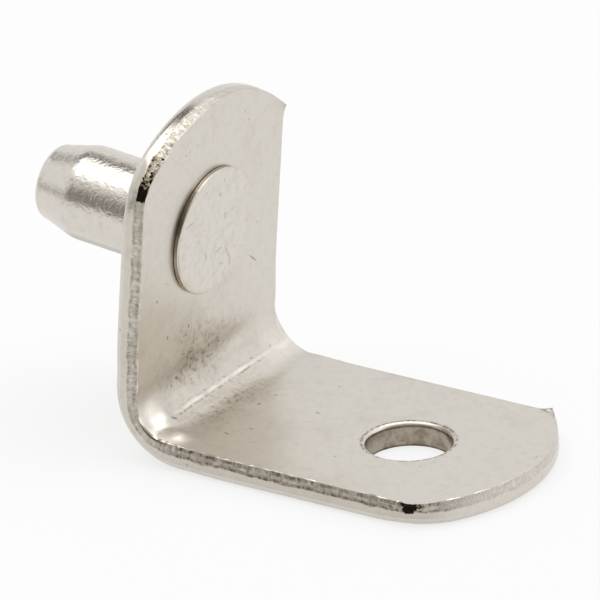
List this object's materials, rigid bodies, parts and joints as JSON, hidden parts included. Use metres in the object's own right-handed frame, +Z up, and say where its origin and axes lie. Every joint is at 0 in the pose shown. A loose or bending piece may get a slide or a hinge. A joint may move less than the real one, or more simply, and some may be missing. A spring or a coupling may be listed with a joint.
{
  "type": "shelf support pin",
  "caption": "Right-angle steel strip with a screw hole in its leg and a round headed peg through its upright plate. The peg plugs into a cabinet side and the leg carries a shelf.",
  "frame": {"origin": "where the peg's axis crosses the outer face of the upright plate, which seats on the cabinet's side", "axes": "+X along the leg, away from the cabinet's side; +Y across the strip; +Z up, square to the leg's faces. The upright plate and the peg lean by 5.6 degrees from this frame, because the bend is closed past square."},
  "size_m": [0.0349, 0.016, 0.0219],
  "materials": {
    "nickel_plate": "nickel plated steel, satin, lightly scuffed"
  },
  "bodies": {
    "root": {"angle_bracket": "nickel_plate", "peg": "nickel_plate"}
  },
  "joints": []
}
